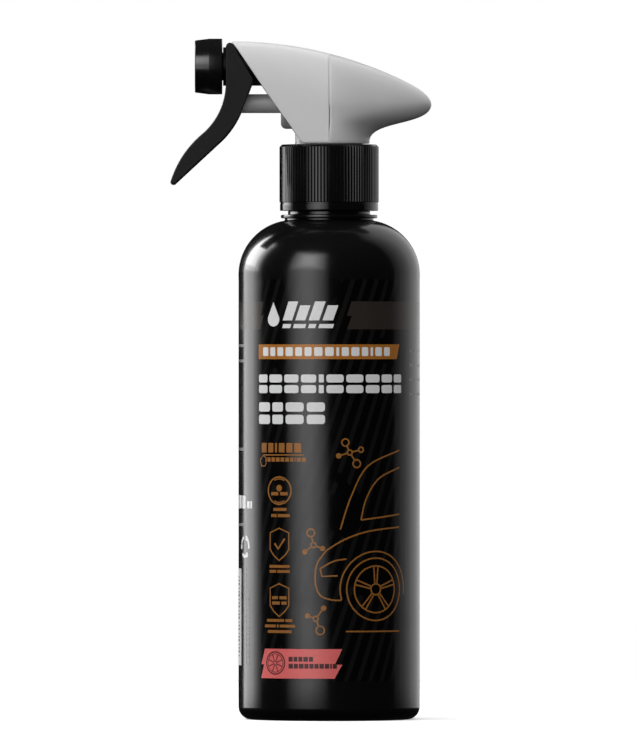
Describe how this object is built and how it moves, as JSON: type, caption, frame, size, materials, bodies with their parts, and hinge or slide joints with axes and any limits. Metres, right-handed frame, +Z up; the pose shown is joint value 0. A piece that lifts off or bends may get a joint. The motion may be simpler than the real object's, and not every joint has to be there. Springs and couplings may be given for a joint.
{
  "type": "trigger spray bottle",
  "caption": "Cylindrical plastic bottle with a screw-on trigger pump that sprays a liquid through a turning nozzle.",
  "frame": {"origin": "centre of the ring that the bottle stands on", "axes": "+Z up the bottle's axis, -X the way the nozzle sprays, -Y the printed front"},
  "size_m": [0.0936, 0.065, 0.244],
  "materials": {
    "bottle_black": "moulded gloss",
    "label_film": "printed film, gloss with a faint diagonal stripe",
    "closure_black": "moulded gloss",
    "pump_grey": "satin",
    "shroud_grey": "satin",
    "barrel_black": "satin",
    "trigger_black": "satin",
    "nozzle_black": "semi-gloss",
    "seal_rubber": "soft matt",
    "natural_plastic": "natural translucent",
    "valve_steel": "bright drawn"
  },
  "bodies": {
    "bottle": {"bottle": "bottle_black", "label": "label_film"},
    "head": {"pump_body": "pump_grey", "barrel": "barrel_black", "front_shroud": "shroud_grey", "rear_shroud": "shroud_grey", "rod_guide": "pump_grey", "nozzle_seal": "seal_rubber", "swirl_insert": "natural_plastic", "dip_tube": "natural_plastic", "tube_retainer": "natural_plastic", "neck_gasket": "seal_rubber", "return_spring": "valve_steel", "outlet_spring": "valve_steel"},
    "closure": {"closure": "closure_black"},
    "trigger": {"trigger": "trigger_black"},
    "piston": {"piston_rod": "pump_grey", "piston_cup": "seal_rubber"},
    "nozzle": {"nozzle_cap": "nozzle_black", "orifice_insert": "barrel_black"},
    "inlet_valve": {"inlet_ball": "valve_steel"},
    "outlet_poppet": {"outlet_valve": "natural_plastic"}
  },
  "joints": [
    {"name": "head_rise", "type": "slide", "parent": "bottle", "child": "head", "axis": [0, 0, 1], "range_m": [0, 0.00634]},
    {"name": "closure_turn", "type": "hinge", "parent": "head", "child": "closure", "pos_m": [0, 0, 0.19], "axis": [0, 0, 1], "range_deg": [0, 540]},
    {"name": "trigger_squeeze", "type": "hinge", "parent": "head", "child": "trigger", "pos_m": [-0.0345, 0, 0.238], "axis": [0, -1, 0], "range_deg": [0, 22]},
    {"name": "piston_stroke", "type": "slide", "parent": "head", "child": "piston", "axis": [1, 0, 0], "range_m": [0, 0.00698], "stiffness_N_per_m": 1200, "springref_m": -0.004, "deforming": ["return_spring"]},
    {"name": "nozzle_turn", "type": "hinge", "parent": "head", "child": "nozzle", "pos_m": [-0.043, 0, 0.234], "axis": [1, 0, 0], "continuous": true},
    {"name": "inlet_ball_lift", "type": "slide", "parent": "head", "child": "inlet_valve", "axis": [0, 0, 1], "range_m": [0, 0.0014]},
    {"name": "outlet_valve_open", "type": "slide", "parent": "head", "child": "outlet_poppet", "axis": [-1, 0, 0], "range_m": [0, 0.0008], "stiffness_N_per_m": 150, "springref_m": -0.001, "deforming": ["outlet_spring"]}
  ],
  "couplings": [
    {"joint": "closure_turn", "follows": "head_rise", "rad_per_m": 1485.4},
    {"joint": "trigger_squeeze", "follows": "piston_stroke", "rad_per_m": 54.945}
  ]
}
